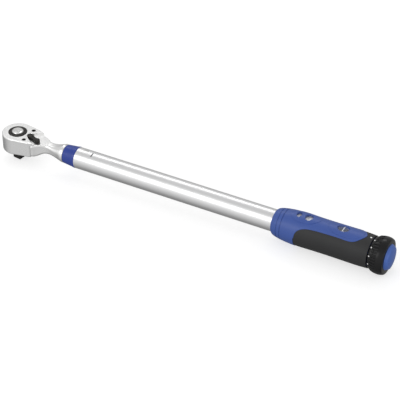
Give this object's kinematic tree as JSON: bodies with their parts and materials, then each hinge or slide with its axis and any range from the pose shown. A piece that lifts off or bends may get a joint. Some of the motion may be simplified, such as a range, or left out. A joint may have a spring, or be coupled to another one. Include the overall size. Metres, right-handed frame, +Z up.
{
  "type": "torque wrench",
  "caption": "Click-type torque wrench with a reversible square-drive ratchet head, a long round tube and a moulded handle with scale windows and a locking knob.",
  "frame": {"origin": "centre of the free end face of the square drive", "axes": "+X along the tube from the head to the knob, +Z up the drive axis, away from the square"},
  "size_m": [0.589, 0.0506, 0.0561],
  "materials": {
    "head_chrome": "satin chrome plate over forged steel",
    "tube_chrome": "satin chrome plate on drawn tube",
    "black_oxide": "oiled black oxide",
    "bright_steel": "turned and polished",
    "turned_steel": "turned, oiled",
    "spring_steel": "drawn spring wire",
    "ring_blue": "blue anodised, satin",
    "shell_blue": "moulded, fine texture",
    "cap_blue": "moulded, satin",
    "overmould_black": "soft overmould, matte",
    "knob_black": "moulded, satin",
    "seal_rubber": "matte",
    "window_clear": "clear moulded lens",
    "scale_white": "white, printed",
    "drum_silver": "anodised, engraved"
  },
  "bodies": {
    "handle": {"tube": "tube_chrome", "front_ring": "ring_blue", "pivot_pin": "bright_steel", "main_spring": "spring_steel", "bearing_block": "turned_steel", "thrust_bearing": "bright_steel", "handle_pins": "bright_steel", "grip_shell": "shell_blue", "grip_overmould": "overmould_black", "rear_panel": "shell_blue", "small_window": "window_clear", "large_window": "window_clear", "rear_window": "window_clear", "index_dot": "scale_white", "rear_bush": "knob_black"},
    "head": {"head_body": "head_chrome", "head_cover": "head_chrome", "cover_screws": "black_oxide", "drive_seal": "seal_rubber", "lever_detent_ball": "bright_steel", "lever_detent_spring": "spring_steel"},
    "drive": {"drive_gear": "black_oxide", "release_spring": "spring_steel"},
    "button": {"release_button": "bright_steel", "release_stem": "bright_steel"},
    "socket_ball": {"detent_ball": "bright_steel"},
    "lever": {"reversing_lever": "black_oxide"},
    "pawl": {"pawl": "black_oxide"},
    "plunger": {"thrust_plunger": "turned_steel", "front_spring_washer": "bright_steel"},
    "toggle": {"toggle_block": "turned_steel"},
    "carriage": {"load_nut": "turned_steel", "rear_spring_washer": "bright_steel", "coarse_scale": "scale_white"},
    "spindle": {"adjusting_screw": "turned_steel", "fine_scale_drum": "drum_silver", "knob_screw": "bright_steel"},
    "knob": {"knob_shell": "knob_black", "knob_dots": "scale_white", "end_cap": "cap_blue", "lock_ball": "bright_steel", "lock_spring": "spring_steel"}
  },
  "joints": [
    {"name": "head_click", "type": "hinge", "parent": "handle", "child": "head", "pos_m": [0.112, 0, 0.0308], "axis": [0, 0, 1], "range_deg": [0, 2], "stiffness_Nm_per_rad": 20, "springref_deg": -5.73},
    {"name": "plunger_slide", "type": "slide", "parent": "handle", "child": "plunger", "axis": [1, 0, 0], "range_m": [0, 0.0009], "deforming": ["main_spring"]},
    {"name": "toggle_tilt", "type": "hinge", "parent": "plunger", "child": "toggle", "pos_m": [0.1705, 0, 0.0308], "axis": [0, 0, 1], "range_deg": [-10, 0]},
    {"name": "drive_turn", "type": "hinge", "parent": "head", "child": "drive", "pos_m": [0, 0, 0.02], "axis": [0, 0, 1], "continuous": true},
    {"name": "button_press", "type": "slide", "parent": "drive", "child": "button", "axis": [0, 0, -1], "range_m": [0, 0.0025], "stiffness_N_per_m": 900, "springref_m": -0.002, "deforming": ["release_spring"]},
    {"name": "ball_retract", "type": "slide", "parent": "drive", "child": "socket_ball", "axis": [-0.9885, 0.1513, 0], "range_m": [0, 0.001]},
    {"name": "lever_turn", "type": "hinge", "parent": "head", "child": "lever", "pos_m": [0.021, 0, 0.03], "axis": [0, 0, 1], "range_deg": [0, 40]},
    {"name": "pawl_rock", "type": "hinge", "parent": "head", "child": "pawl", "pos_m": [0.021, 0, 0.03], "axis": [0, 0, 1], "range_deg": [0, 16]},
    {"name": "knob_turn", "type": "hinge", "parent": "handle", "child": "spindle", "pos_m": [0.5, 0, 0.0308], "axis": [1, 0, 0], "range_deg": [-1080.1, 1080.1]},
    {"name": "scale_slide", "type": "slide", "parent": "handle", "child": "carriage", "axis": [1, 0, 0], "range_m": [-0.006, 0.006], "deforming": ["main_spring"]},
    {"name": "knob_pull", "type": "slide", "parent": "spindle", "child": "knob", "axis": [1, 0, 0], "range_m": [0, 0.005]}
  ],
  "couplings": [
    {"joint": "plunger_slide", "follows": "head_click", "m_per_rad": 0.025783},
    {"joint": "toggle_tilt", "follows": "head_click", "ratio": -5},
    {"joint": "ball_retract", "follows": "button_press", "ratio": 0.4},
    {"joint": "pawl_rock", "follows": "lever_turn", "ratio": 0.4},
    {"joint": "knob_turn", "follows": "scale_slide", "rad_per_m": 3141.6}
  ]
}
